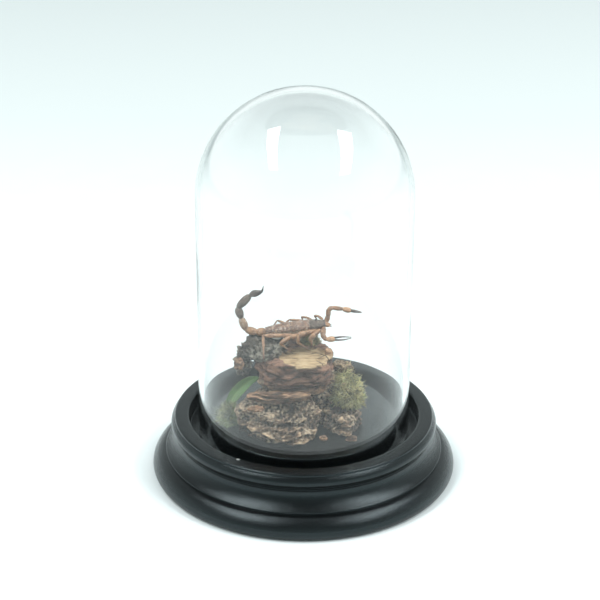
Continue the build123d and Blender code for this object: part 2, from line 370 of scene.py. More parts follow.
def cuticle(name, dark, middle, light, fleck_share=0.0):
    """Dried cuticle: mottled, granular, flecked with pale spots, and painted darker in its folds as shade.
    """
    made, tree, shader, where = new_material(name)
    relief = paint(tree, "relief")
    mottle = grain(tree, where, 900, 5, 0.65)
    granules = add(tree, "ShaderNodeTexVoronoi", {"Vector": where, "Scale": 3600.0}).outputs["Distance"]
    place = calc(tree, "MULTIPLY_ADD", mottle, 0.8, relief)
    shifted = calc(tree, "SUBTRACT", place, 0.4)
    base = ramp(tree, shifted, (0.22, dark), (0.46, middle), (0.74, light))
    flecks = ramp(tree, grain(tree, where, 1300, 4, 0.7), (0.52, 0.0), (0.60, fleck_share))
    feed(
        tree, shader, Base_Color=blend_colours(tree, flecks, base, (0.60, 0.56, 0.50)),
        Roughness=ramp(tree, mottle, (0.3, 0.34), (0.7, 0.55)), Specular_IOR_Level=0.5,
        Normal=bump(tree, granules, 0.05 * MM, 0.5, bump(tree, mottle, 0.06 * MM, 0.5)),
    )
    return made


def eye_black():
    made, tree, shader, where = new_material("eye_black")
    haze = grain(tree, where, 3000, 2, 0.5)
    feed(
        tree, shader, Base_Color=(0.004, 0.004, 0.004, 1),
        Roughness=ramp(tree, haze, (0.3, 0.08), (0.7, 0.16)),
    )
    return made


LACQUER = black_lacquer()
GLASS = clear_glass()
FELT = wool_felt()
BARK = rough_bark(
    "flaky_bark", (0.010, 0.007, 0.005), (0.12, 0.078, 0.05), (0.52, 0.37, 0.24), (0.52, 0.42, 0.3)
)
LICHEN = rough_bark(
    "lichened_bark", (0.007, 0.007, 0.006), (0.055, 0.045, 0.035), (0.27, 0.23, 0.175),
    (0.42, 0.4, 0.33), 0.35,
)
RED_BARK = rough_bark(
    "red_bark", (0.04, 0.02, 0.012), (0.2, 0.11, 0.06), (0.4, 0.25, 0.15), (0.42, 0.3, 0.2), 0.3
)
PALE = rough_bark(
    "pale_wood", (0.05, 0.034, 0.02), (0.24, 0.17, 0.10), (0.5, 0.38, 0.25), (0.5, 0.4, 0.28), 0.4
)
DARK_WOOD = rough_bark(
    "dark_wood", (0.008, 0.006, 0.005), (0.085, 0.048, 0.03), (0.33, 0.20, 0.12), (0.30, 0.2, 0.12), 0.3
)
WOOD = split_wood()
MOSS = dry_moss("dry_moss", (0.035, 0.045, 0.015), (0.58, 0.54, 0.24))
GREEN_MOSS = dry_moss("green_moss", (0.015, 0.03, 0.012), (0.22, 0.26, 0.10))
DEEP_MOSS = dry_moss("deep_moss", (0.008, 0.013, 0.006), (0.20, 0.20, 0.07))
LEAF = leaf_green()
GLUE = cloudy_glue()
TAN = cuticle("tan_cuticle", (0.030, 0.013, 0.006), (0.15, 0.070, 0.032), (0.36, 0.20, 0.10), 0.12)
MOTTLED = cuticle("mottled_cuticle", (0.014, 0.009, 0.006), (0.13, 0.056, 0.028), (0.36, 0.24, 0.15), 0.4)
DARK = cuticle("dark_cuticle", (0.008, 0.007, 0.006), (0.035, 0.025, 0.019), (0.13, 0.095, 0.07), 0.08)
PLEURA = cuticle("pleural_membrane", (0.03, 0.018, 0.012), (0.16, 0.09, 0.05), (0.55, 0.48, 0.4), 0.9)
HEAD = cuticle("head_cuticle", (0.009, 0.007, 0.006), (0.06, 0.038, 0.026), (0.22, 0.155, 0.105), 0.2)
EYE = eye_black()


# ---- turned pieces
def geometry_tree(name, **sockets):
    """A new Geometry Nodes tree with the given inputs, which it returns too."""
    tree = bpy.data.node_groups.new(name, "GeometryNodeTree")
    for label, kind in sockets.items():
        tree.interface.new_socket(label, in_out="INPUT", socket_type="NodeSocket" + kind)
    tree.interface.new_socket("Piece", in_out="OUTPUT", socket_type="NodeSocketGeometry")
    return tree, add(tree, "NodeGroupInput").outputs


def shape(tree, kind, output="Geometry", **feeds):
    """A geometry node's output. Its inputs are named with underscores for spaces."""
    named = {socket.replace("_", " "): feed for socket, feed in feeds.items()}
    return add(tree, "GeometryNode" + kind, named).outputs[output]


def scaled(tree, vector, size):
    made = add(tree, "ShaderNodeVectorMath", {0: vector, "Scale": size}, operation="SCALE")
    return made.outputs["Vector"]


def clad(tree, geometry, finish):
    """Real geometry that wears the finish."""
    real = shape(tree, "RealizeInstances", Geometry=geometry)
    return shape(tree, "SetMaterial", Geometry=real, Material=finish)


def turning_tree():
    """Geometry Nodes that turn an outline of (radius, height) about the vertical axis."""
    tree, given = geometry_tree(
        "turn_outline", Outline="Object", Turns="Int", Ripple="Float", Centre="Vector", Finish="Material"
    )
    hub = 1 * MM
    outline = shape(tree, "ObjectInfo", Object=given["Outline"])
    moved = shape(tree, "Transform", Geometry=outline, Translation=(-hub, 0, 0))
    circle = shape(tree, "CurvePrimitiveCircle", "Curve", Resolution=given["Turns"], Radius=hub)
    skin = shape(tree, "CurveToMesh", "Mesh", Curve=circle, Profile_Curve=moved)
    closed = shape(tree, "MergeByDistance", Geometry=skin, Distance=0.004 * MM)
    waves = add(tree, "ShaderNodeTexNoise", {"Scale": 38.0, "Detail": 1.0}).outputs["Fac"]
    depth = calc(tree, "MULTIPLY", waves, given["Ripple"])
    push = scaled(tree, shape(tree, "InputNormal", "Normal"), depth)
    rippled = shape(tree, "SetPosition", Geometry=closed, Offset=push)
    seated = shape(tree, "Transform", Geometry=rippled, Translation=given["Centre"])
    add(tree, "NodeGroupOutput", {"Piece": clad(tree, seated, given["Finish"])})
    return tree


def grow(name, tree, **sizes):
    """Runs a Geometry Nodes tree with the named inputs and returns its plain mesh object."""
    seat = link(name + "_seat", bpy.data.meshes.new(name + "_seat"))
    work = seat.modifiers.new("work", "NODES")
    work.node_group = tree
    for socket in tree.interface.items_tree:
        if socket.in_out == "INPUT" and socket.name in sizes:
            work[socket.identifier] = sizes[socket.name]
    bpy.context.view_layer.update()
    return bake(name, seat)


TURN = turning_tree()


def turned(name, outline, finish, centre=(0, 0, 0), turns=256, ripple=0.0):
    """A closed piece turned from an outline of (radius, height) points in metres."""
    drawn = bpy.data.curves.new(name + "_outline", "CURVE")
    drawn.dimensions = "3D"
    line = drawn.splines.new("POLY")
    line.points.add(len(outline) - 1)
    for point, (radius, height) in zip(line.points, outline):
        point.co = (radius, -height, 0, 1)
    line.use_cyclic_u = True
    pattern = link(name + "_outline", drawn)
    made = grow(name, TURN, Outline=pattern, Turns=turns, Ripple=ripple, Centre=centre, Finish=finish)
    bpy.data.objects.remove(pattern)
    face_outwards(made)
    return made


def corner(points, steps=4):
    """A smooth stretch of an outline through (radius, height) points in millimetres."""
    return [tuple(p) for p in smooth_run([Vector((r, h)) * MM for r, h in points], steps)]


base_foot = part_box("turned_base")[0].z
recess_r, recess_top = 50.3 * MM, 1.5 * MM
outline = [
    (0, 22.0 * MM), *corner([(34.6, 22.0), (35.05, 21.92), (35.25, 21.65), (35.3, 21.2)], 3),
    (35.3 * MM, 17.2 * MM), *corner([(35.45, 16.75), (36.0, 16.5), (43.4, 16.5), (43.9, 16.8)], 3),
    *corner([(44.0, 17.4), (44.0, 22.3), (44.12, 22.75), (44.5, 22.98), (45.2, 23.0)], 3),
    *corner([(48.2, 23.0), (48.85, 22.93), (49.2, 22.68), (49.3, 22.3)], 4),
    *corner(
        [(49.32, 22.15), (49.5, 21.95), (49.85, 21.55), (50.35, 20.85), (50.62, 20.2), (50.7, 19.6)], 4
    ),
    *corner([(50.68, 19.2), (50.4, 18.45), (49.95, 17.85), (49.45, 17.5), (49.15, 17.42)], 4),
    *corner([(48.75, 17.4), (48.6, 17.15), (48.6, 16.85), (48.75, 16.7), (48.95, 16.62)], 3),
    *corner(
        [
            (48.85, 16.3), (48.6, 15.6), (48.6, 14.6), (48.95, 13.3), (49.8, 11.9), (51.0, 10.6),
            (52.2, 9.75),
        ],
        5,
    ),
    *corner([(52.75, 9.5), (52.97, 9.3), (53.0, 9.05), (52.92, 8.75), (52.7, 8.6)], 3),
    *corner(
        [(52.75, 8.4), (53.3, 8.25), (54.4, 7.9), (55.8, 7.0), (56.95, 5.7), (57.7, 4.3), (58.0, 2.9)], 5
    ),
    *corner([(57.98, 2.2), (57.7, 1.3), (57.2, 0.65), (56.5, 0.3)], 4), (recess_r, base_foot),
    (recess_r, recess_top), (0, recess_top),
]
settle(turned("black_turned_base", outline, LACQUER), "black_lacquered_wood", None, "turned_base")

glass_low, glass_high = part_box("glass_dome")
glass_seat = (glass_low + glass_high) / 2
glass_r = (glass_high.x - glass_low.x) / 2
glass_wall = 2.2 * MM
shoulder = glass_high.z - glass_r
lip = 0.95 * MM
quarter = [math.pi / 2 * i / 40 for i in range(41)]
outline = [(glass_r * math.cos(a), shoulder + glass_r * math.sin(a)) for a in quarter]
inner_r = glass_r - glass_wall
outline += [(inner_r * math.cos(a), shoulder + inner_r * math.sin(a)) for a in reversed(quarter)]
wall_steps = [glass_low.z + lip + (shoulder - glass_low.z - lip) * i / 24 for i in range(24)]
outline += [(inner_r, z) for z in reversed(wall_steps)]
lip_turn = [math.pi * (1 + i / 10) for i in range(1, 10)]
lip_centre = (glass_r + inner_r) / 2
outline += [
    (lip_centre + glass_wall / 2 * math.cos(a), glass_low.z + lip + lip * math.sin(a)) for a in lip_turn
]
outline += [(glass_r, z) for z in wall_steps]
dome = turned(
    "clear_glass_dome", outline, GLASS, (glass_seat.x, glass_seat.y, 0), turns=224, ripple=0.10 * MM
)
settle(dome, "clear_glass", None, "glass_dome", body="dome")

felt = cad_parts["underside_felt"]
felt.data.materials.clear()
felt.data.materials.append(FELT)


# ---- bark, wood and moss
def carved(name, node, voxel, relief_of, shape_to=None):
    """A rough piece cut from its CAD node: a fine even mesh whose points move along their normals.

    relief_of(point, normal) gives the height in metres, and a value from 0 to 1 for the paint.
    """
    work = bmesh.new()
    work.from_mesh(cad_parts[node].data)
    bmesh.ops.remove_doubles(work, verts=work.verts, dist=0.002 * MM)
    blank = link(name + "_blank", mesh_from(name, work))
    even = blank.modifiers.new("even", "REMESH")
    even.mode, even.voxel_size = "VOXEL", voxel
    soft = blank.modifiers.new("soft", "SMOOTH")
    soft.factor, soft.iterations = 0.5, 2
    piece = bake(name, blank)
    shape = piece.data
    if shape_to is not None:
        for v in shape.vertices:
            v.co = shape_to(v.co)
        shape.update()
    paint = shape.attributes.new("relief", "FLOAT", "POINT")
    normals = [v.normal.copy() for v in shape.vertices]
    for v, normal in zip(shape.vertices, normals):
        height, tone = relief_of(v.co, normal)
        v.co += normal * height
        paint.data[v.index].value = tone
    shape.shade_smooth()
    return piece


def drift(point):
    """A smooth wandering offset, the same in every run."""
    return Vector([noise.noise(point + Vector((shift, shift, shift))) for shift in (0.0, 31.4, 57.9)])


def flaky(size, tall, depth, seed, lift=0.0, grainy=0.35):
    """Relief of bark that breaks into flakes: size across and tall high, in millimetres."""
    away = Vector((seed * 1.7, seed * 2.3, seed * 3.1))

    def relief_of(point, normal):
        p = point / MM
        wander = drift(p * 0.16 + away) * 2.0
        q = p + wander
        cell = Vector((q.x / size, q.y / size, q.z / tall)) + away
        spans, centres = noise.voronoi(cell)
        plate = ease(0.02, 0.3, spans[1] - spans[0])
        stand = noise.cell(centres[0] * 9.0)
        fine = noise.fractal(p * 0.9 + away, 1.0, 2.2, 5)
        rough = noise.fractal(p * 0.13 + away, 1.0, 2.0, 4) * 1.7
        layers = noise.fractal(Vector((q.x * 0.09, q.y * 0.09, q.z * 0.9)) + away, 0.8, 2.2, 4)
        layers *= 1 - 0.6 * abs(normal.z)
        height = 0.2 * plate + 0.4 * stand * plate + 0.8 * layers + grainy * fine + 0.7 * rough - 0.35
        # The paint value follows the height, so the cracks between the flakes come out darker: partly the
        # bark's own colour and partly painted shade.
        tone = 0.18 + 0.34 * plate * (0.4 + 0.6 * stand) + 0.55 * layers + 0.32 * fine + 0.08 * rough
        return (depth * height + lift) * MM, min(max(tone, 0.0), 1.0)

    return relief_of


def fibrous(depth, seed):
    """Relief of split wood whose fibres run along X."""
    away = Vector((seed * 1.3, seed * 2.9, seed * 0.7))

    def relief_of(point, normal):
        p = point / MM
        bend = noise.noise(Vector((p.x * 0.12, p.y * 0.12, 0)) + away) * 1.2
        cords = noise.fractal(Vector((p.x * 0.07, p.y * 0.25, (p.z + bend) * 0.75)) + away, 0.9, 2.1, 4)
        lumps = noise.fractal(p * 0.13 + away, 1.0, 2.0, 3)
        fine = noise.fractal(Vector((p.x * 0.3, p.y * 1.2, p.z * 2.2)) + away, 1.0, 2.0, 3)
        side = 1 - ease(0.55, 0.85, abs(normal.z))
        height = depth * (side * (1.1 * cords + 1.2 * lumps) + 0.3 * fine + (1 - side) * 0.35 * lumps)
        # The paint value follows the fibres' height, so the hollows between them come out darker: partly
        # the wood's own colour and partly painted shade.
        tone = 0.5 + 0.5 * cords + 0.35 * fine if side > 0.5 else 0.55 + 0.5 * fine + 0.2 * lumps
        return height * MM, min(max(tone, 0.0), 1.0)

    return relief_of


bark_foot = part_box("lower_bark_front")[0].z
bark_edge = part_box("lower_bark_right")[1].x
chip_low, chip_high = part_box("pale_chip_right")
chip_centre = (chip_low + chip_high) / 2


def sloped(point):
    """Lets the lower bark's top fall towards the right and its left front corner draw in."""
    x, y, z = point
    fall = 0.34 * ease(-12 * MM, 7 * MM, x) * ease(-9 * MM, -17 * MM, y)
    fall += 0.16 * ease(-14 * MM, -25 * MM, y)
    drawn = ease(-12 * MM, -26 * MM, x) * ease(-14 * MM, -24 * MM, y)
    return Vector((x + 1.6 * MM * drawn, y + 2.6 * MM * drawn, bark_foot + (z - bark_foot) * (1 - fall)))


def reached(point):
    """Lets the right bark reach back to the front piece."""
    return Vector((bark_edge - 1.12 * (bark_edge - point.x), point.y, point.z))


def broader(point):
    """The pale chip is a plate that leans out over the moss."""
    away = point - chip_centre
    return chip_centre + Vector((away.x * 1.35, away.y * 1.1, away.z * 1.5 - 0.25 * away.x))


def reaching_back(point):
    """Lets the raised chip on the left reach back and up to the lichened bark that holds it."""
    if point.z < 40 * MM:
        return point
    back, up = ease(-11.6 * MM, -9.2 * MM, point.y), ease(46 * MM, 48 * MM, point.z)
    return Vector((point.x, point.y + 3.2 * MM * back, point.z + 0.8 * MM * up))


def break_open(block):
    """Marks the pale face that the split left on the block's top, and raises the bark around it."""
    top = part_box("upper_wood_block")[1].z
    fresh = block.data.attributes.new("fresh", "FLOAT", "POINT")
    centre, reach = mm(0.8, -6.2), mm(10.6, 8.6)
    for v in block.data.vertices:
        ragged = noise.fractal(v.co / MM * 0.35, 1.0, 2.0, 3)
        across, deep = ((v.co[i] - centre[i]) / reach[i] for i in (0, 1))
        inside = 1 - ease(0.94, 1.0, math.hypot(across, deep) + 0.07 * ragged)
        upper = ease(top - 0.9 * MM, top - 0.4 * MM, v.co.z + 0.3 * MM * ragged)
        fresh.data[v.index].value = inside * upper
        held = 1 - ease(0.85, 1.0, 1 - inside) if v.co.z < top - 1 * MM else 0
        rise = (1 - inside) * (1 - held) * ease(top - 1.5 * MM, top, v.co.z)
        v.co.z += rise * (1.1 + 0.6 * ragged) * MM


# Each heap piece: its name, CAD node, voxel in millimetres, relief, reshaping, slot and finish.
for name, node, voxel, relief_of, shape_to, slot, finish in (
    (
        "flaky_bark_front", "lower_bark_front", 0.34, flaky(7.5, 1.3, 1.7, 3, 0.0, 0.4), sloped,
        "rough_bark", BARK,
    ),
    (
        "flaky_bark_right", "lower_bark_right", 0.34, flaky(5.5, 1.3, 1.6, 7, 0.1, 0.4), reached,
        "rough_bark", BARK,
    ),
    ("flaky_bark_rear", "rear_bark", 0.42, flaky(3.8, 2.2, 1.5, 11), None, "rough_bark", BARK),
    ("shadowed_core", "core_bark", 0.4, fibrous(1.0, 5), None, "dark_wood", DARK_WOOD),
    ("twisted_root_wood", "twisted_root", 0.25, fibrous(0.7, 9), None, "dark_wood", DARK_WOOD),
    ("split_wood_block", "upper_wood_block", 0.34, fibrous(1.1, 2), None, "pale_cut_wood", WOOD),
    (
        "lichened_bark_cap", "lichen_bark", 0.34, flaky(3.6, 1.2, 1.8, 13, 0.0, 0.6), None,
        "lichened_bark", LICHEN,
    ),
    ("red_bark_chips", "bark_chips", 0.2, flaky(1.8, 0.8, 0.5, 17), reaching_back, "red_bark", RED_BARK),
    ("pale_bark_chip", "pale_chip_right", 0.25, flaky(2.4, 1.2, 0.8, 19), broader, "pale_cut_wood", PALE),
    ("splinter_of_bark", "bark_splinter", 0.16, fibrous(0.4, 21), None, "red_bark", RED_BARK),
    ("glue_under_bark", "platform_glue", 0.22, flaky(3.0, 3.0, 0.1, 23), None, "hot_glue", GLUE),
    ("glue_under_specimen", "specimen_glue", 0.2, flaky(1.5, 1.5, 0.15, 25), None, "hot_glue", GLUE),
):
    piece = carved(name, node, voxel * MM, relief_of, shape_to)
    if node == "upper_wood_block":
        break_open(piece)
    settle(piece, slot, finish, node)


def strand_mesh():
    """One dry moss strand, a millimetre long, bent and tapering, along +Z."""
    work = bmesh.new()
    rings = []
    for i in range(5):
        t = i / 4
        centre = Vector((0.22 * t * t, 0.05 * math.sin(3 * t), t)) * MM
        width = 0.06 * MM * (1 - 0.7 * t)
        rings.append(
            [
                work.verts.new(centre + Vector((math.cos(a), math.sin(a), 0)) * width)
                for a in (0, 2 * math.pi / 3, 4 * math.pi / 3)
            ]
        )
    bridge(work, rings)
    work.faces.new(list(reversed(rings[0])))
    work.faces.new(rings[-1])
    return link("moss_strand", mesh_from("moss_strand", work))


def moss_tree():
    """Geometry Nodes that stand strands all over a tuft."""
    tree, given = geometry_tree(
        "moss_over_tuft", Tuft="Object", Strand="Object", Density="Float", Shortest="Float",
        Longest="Float", Lean="Float", Seed="Int", Finish="Material",
    )
    tuft = shape(tree, "ObjectInfo", Object=given["Tuft"])
    strand = shape(tree, "ObjectInfo", Object=given["Strand"])
    density, seed, most = given["Density"], given["Seed"], given["Lean"]
    roots = add(
        tree, "GeometryNodeDistributePointsOnFaces", {"Mesh": tuft, "Density": density, "Seed": seed}
    ).outputs
    leans = {0: scaled(tree, (-1, -1, -3), most), 1: scaled(tree, (1, 1, 3), most), "Seed": seed}
    lean = add(tree, "FunctionNodeRandomValue", leans, data_type="FLOAT_VECTOR").outputs[0]
    ways = {"Rotation": roots["Rotation"], "Rotate By": lean}
    way = add(tree, "FunctionNodeRotateRotation", ways, rotation_space="LOCAL").outputs["Rotation"]
    sizes = {2: given["Shortest"], 3: given["Longest"], "Seed": seed}
    size = add(tree, "FunctionNodeRandomValue", sizes, data_type="FLOAT").outputs[1]
    placed = shape(
        tree, "InstanceOnPoints", "Instances",
        Points=roots["Points"], Instance=strand, Rotation=way, Scale=size,
    )
    both = add(tree, "GeometryNodeJoinGeometry")
    tree.links.new(clad(tree, placed, given["Finish"]), both.inputs[0])
    tree.links.new(tuft, both.inputs[0])
    add(tree, "NodeGroupOutput", {"Piece": both.outputs["Geometry"]})
    return tree


STRAND = strand_mesh()
MOSS_TREE = moss_tree()


def mossy(name, node, density, shortest, longest, seed, finish=MOSS, shape_to=None):
    """A tuft of moss cut from its CAD solid, with strands standing out of it."""
    tuft = carved(name + "_tuft", node, 0.4 * MM, flaky(1.7, 1.7, 3.0, seed, -1.5, 0.9), shape_to)
    tuft.data.materials.append(DEEP_MOSS)
    made = grow(
        name, MOSS_TREE, Tuft=tuft, Strand=STRAND, Density=density, Shortest=shortest,
        Longest=longest, Lean=0.75, Seed=seed, Finish=finish,
    )
    bpy.data.objects.remove(tuft)
    made.data.shade_smooth()
    return settle(made, "dry_moss", None, node)


moss_low, moss_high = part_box("moss_right")
moss_edge = moss_low.x


def thinner(point):
    """The right moss is a thin hanging tuft, narrower at its top than at its foot."""
    up = (point.z - moss_low.z) / (moss_high.z - moss_low.z)
    return Vector((moss_edge + (point.x - moss_edge) * (0.95 - 0.35 * up), point.y, point.z))


mossy("moss_on_right", "moss_right", 0.5e7, 0.7, 3.9, 31, MOSS, thinner)
mossy("moss_on_top", "moss_top", 1.6e7, 0.7, 2.0, 37)
mossy("moss_on_left", "moss_left", 0.9e7, 1.0, 4.0, 41, GREEN_MOSS)
bpy.data.objects.remove(STRAND)

# The leaf: a blade with a folded midrib and a toothed edge.
leaf_route = [
    mm(-29.6, 0.5, 22.4), mm(-28.0, 2.6, 26.0), mm(-25.4, 4.6, 29.4), mm(-21.6, 6.2, 32.4),
    mm(-17.6, 7.4, 33.8),
]
leaf_side = Vector((-0.74, 0.36, 0.52)).normalized()


def leaf_blade():
    spine = smooth_run(leaf_route, 14)
    work = bmesh.new()
    rows = []
    for i, place in enumerate(spine):
        t = i / (len(spine) - 1)
        half = 2.3 * MM * math.sin(math.pi * (0.08 + 0.88 * t)) ** 0.75
        teeth = 1 + (0.16 if i % 4 == 2 else 0.0)
        forward = (spine[min(i + 1, len(spine) - 1)] - spine[max(i - 1, 0)]).normalized()
        across = (leaf_side - forward * leaf_side.dot(forward)).normalized()
        up = forward.cross(across)
        row = []
        for share in (-1, -0.6, -0.25, 0, 0.25, 0.6, 1):
            reach = half * share * (teeth if abs(share) == 1 else 1)
            fold = abs(share) * 0.25 * half
            curl = 0.12 * MM * math.sin(9 * t + 2 * share)
            row.append(work.verts.new(place + across * reach + up * (fold + curl)))
        rows.append(row)
    for low, high in zip(rows, rows[1:]):
        for k in range(len(low) - 1):
            work.faces.new((low[k], low[k + 1], high[k + 1], high[k]))
    mesh = mesh_from("green_leaf", work)
    tone = mesh.attributes.new("relief", "FLOAT", "POINT")
    for v in mesh.vertices:
        tone.data[v.index].value = 0.8 if v.index % 7 == 3 else 0.1
    sheet = link("leaf_sheet", mesh)
    thick = sheet.modifiers.new("thick", "SOLIDIFY")
    thick.thickness, thick.offset = 0.22 * MM, 0
    fine = sheet.modifiers.new("fine", "SUBSURF")
    fine.levels = fine.render_levels = 1
    return bake("green_leaf", sheet)


leaf = leaf_blade()
face_outwards(leaf)
settle(leaf, "green_leaf", LEAF, "leaf_blade")


# ---- scorpion: skins
class Skin:
    """Collects closed round bodies into one mesh, with a tone from 0 to 1 at each point."""

    def __init__(self, name):
        self.name = name
        self.work = bmesh.new()
        self.tone = self.work.verts.layers.float.new("relief")

    def body(
        self, route, radii, sides=14, tones=(0.5, 0.5), ridges=0, ridge=0.0, flat=1.0, up=(0, 0, 1),
        rough=0.0,
    ):
        """A closed body along a route, with a radius for each point and ridges running along it."""
        rings = []
        for i, (place, radius) in enumerate(zip(route, radii)):
            forward = (route[min(i + 1, len(route) - 1)] - route[max(i - 1, 0)]).normalized()
            side = forward.cross(Vector(up)).normalized()
            lift = side.cross(forward)
            tone = tones[0] + (tones[1] - tones[0]) * i / (len(route) - 1)
            ring = []
            for k in range(sides):
                angle = 2 * math.pi * k / sides
                keel = max(math.cos(ridges * angle), 0) ** 2 * ridge if ridges else 0
                around = Vector((3 * math.cos(angle), 3 * math.sin(angle), 0))
                grit = noise.noise(place / MM * 3 + around) * rough
                reach = radius * (1 + keel + grit)
                spot = place + side * math.cos(angle) * reach + lift * math.sin(angle) * reach * flat
                v = self.work.verts.new(spot)
                # The value rises on ridges and raised grit and falls in the hollows between them, where the
                # cuticle is painted darker: painted shade.
                v[self.tone] = min(max(tone + 1.5 * keel + grit, 0), 1)
                ring.append(v)
            rings.append(ring)
        bridge(self.work, rings)
        for ring, place, end in ((rings[0], route[0], 0), (rings[-1], route[-1], 1)):
            tip = self.work.verts.new(place)
            tip[self.tone] = tones[end]
            for k in range(sides):
                self.work.faces.new((ring[k], ring[(k + 1) % sides], tip))
        return self

    def joint(self, a, b, ra, rb, swell=0.12, tones=(0.5, 0.5), steps=12, past=0.35, **shape):
        """One limb segment from a to b: rounded ends and a slight swelling between them."""
        along = b - a
        route, radii = [], []
        for i in range(steps + 1):
            t = i / steps
            over = past * (ra + rb) / 2 / max(along.length, 1e-6)
            u = -over + (1 + 2 * over) * (0.5 - 0.5 * math.cos(math.pi * t))
            route.append(a + along * u)
            cap = math.sin(math.pi * t) ** 0.38
            radii.append(max((ra + (rb - ra) * t) * (1 + swell * math.sin(math.pi * t)) * cap, 0.01 * MM))
        return self.body(route, radii, tones=tones, **shape)

    def finish(self):
        bmesh.ops.recalc_face_normals(self.work, faces=self.work.faces)
        mesh = mesh_from(self.name, self.work)
        mesh.shade_smooth()
        return link(self.name, mesh)


# ---- scorpion: trunk
tail_root = mm(-14.5, 4.0, 55.0)
waist = mm(2.2, 4.4, 57.2)
trunk = waist - tail_root
trunk_dir = trunk.normalized()
trunk_side = Vector((-0.02, 1, 0)).normalized()
trunk_side = (trunk_side - trunk_dir * trunk_side.dot(trunk_dir)).normalized()
trunk_up = trunk_side.cross(trunk_dir) * -1
head_length = 5.9 * MM
TERGITES = 7


def trunk_half_width(distance):
    return (1.7 + 1.4 * math.sin(math.pi / 2 * min(distance / (0.65 * trunk.length), 1))) * MM


def trunk_half_height(distance):
    return (1.45 + 0.7 * math.sin(math.pi / 2 * min(distance / (0.65 * trunk.length), 1))) * MM


def trunk_point(distance, across, up):
    return tail_root + trunk_dir * distance + trunk_side * across + trunk_up * up


def shell_piece(name, start, end, width_of, height_of, low_angle, rise=0.0, lip=0.0, grit=0.05, keels=True):
    """An arched plate over the trunk from start to end, with a thick rear lip and three keels."""
    work = bmesh.new()
    tone = work.verts.layers.float.new("relief")
    rows, columns = 12, 32
    layers = []
    for inside in (0, 1):
        sheet = []
        for i in range(rows + 1):
            t = i / rows
            s = start + (end - start) * t
            row = []
            for k in range(columns + 1):
                angle = low_angle + (math.pi - 2 * low_angle) * k / columns
                keel = 0.0
                if keels:
                    for middle in (0.5, 0.3, 0.7):
                        crest = math.exp(-(((k / columns) - middle) / 0.02) ** 2)
                        keel += crest * 0.05 * (0.3 + 0.7 * (1 - t))
                w, h = width_of(s), height_of(s)
                spot = trunk_point(s, w * math.cos(angle), h * math.sin(angle))
                grain_here = noise.fractal(spot / MM * 2.6, 1.0, 2.0, 3) * grit
                edge = lip * math.exp(-((t / 0.08) ** 2))
                swell = 1 + rise * math.sin(math.pi * t) + edge + keel + grain_here
                thin = 0.16 * MM * inside
                wide, tall = w * swell - thin, h * swell - thin
                place = trunk_point(s, wide * math.cos(angle), tall * math.sin(angle))
                v = work.verts.new(place)
                # Keels and raised grain get a higher paint value and the hollows a lower one, as painted
                # shade; the front end of each plate, where it runs under the plate before it, is painted
                # darker as shade too.
                shade = 0.25 * math.exp(-((1 - t) / 0.1) ** 2)
                v[tone] = min(max(0.42 + 4 * keel + 3 * grain_here - shade, 0), 1)
                row.append(v)
            sheet.append(row)
        layers.append(sheet)
    outer, inner = layers
    for i in range(rows):
        for k in range(columns):
            work.faces.new((outer[i][k], outer[i][k + 1], outer[i + 1][k + 1], outer[i + 1][k]))
            work.faces.new((inner[i][k], inner[i + 1][k], inner[i + 1][k + 1], inner[i][k + 1]))
    for i in range(rows):
        for k in (0, columns):
            work.faces.new((outer[i][k], outer[i + 1][k], inner[i + 1][k], inner[i][k]))
    for k in range(columns):
        for i in (0, rows):
            work.faces.new((outer[i][k], outer[i][k + 1], inner[i][k + 1], inner[i][k]))
    bmesh.ops.recalc_face_normals(work, faces=work.faces)
    mesh = mesh_from(name, work)
    mesh.shade_smooth()
    return link(name, mesh)


for number in range(TERGITES):
    near_head = trunk.length * (1 - number / TERGITES)
    near_tail = trunk.length * (1 - (number + 1) / TERGITES)
    plate = shell_piece(
        f"back_plate_{number + 1}", near_tail - 0.15 * MM, near_head, trunk_half_width, trunk_half_height,
        0.06, rise=0.07, lip=0.13, grit=0.10,
    )
    settle(plate, "mottled_cuticle", MOTTLED, f"scorpion_tergite_{number + 1}")

belly_stations = 40
route = [trunk_point(trunk.length * i / belly_stations, 0, -0.25 * MM) for i in range(belly_stations + 1)]
radii = []
for i in range(belly_stations + 1):
    t = i / belly_stations
    fold = 0.05 * math.cos(2 * math.pi * t * TERGITES)
    end_share = 1 if 0 < i < belly_stations else 0.6
    radii.append(trunk_half_width(trunk.length * t) * (0.93 - fold) * end_share)
belly = Skin("soft_belly").body(route, radii, sides=28, tones=(0.55, 0.7), flat=0.72, rough=0.16)
settle(belly.finish(), "tan_cuticle", PLEURA, "scorpion_belly")


def head_width(distance):
    t = (distance - trunk.length) / head_length
    return (2.95 - 1.0 * ease(0.2, 1.05, t)) * MM * (1 if t < 0.97 else 0.93)


def head_height(distance):
    t = (distance - trunk.length) / head_length
    return (2.15 - 0.75 * ease(0.1, 1.1, t)) * MM


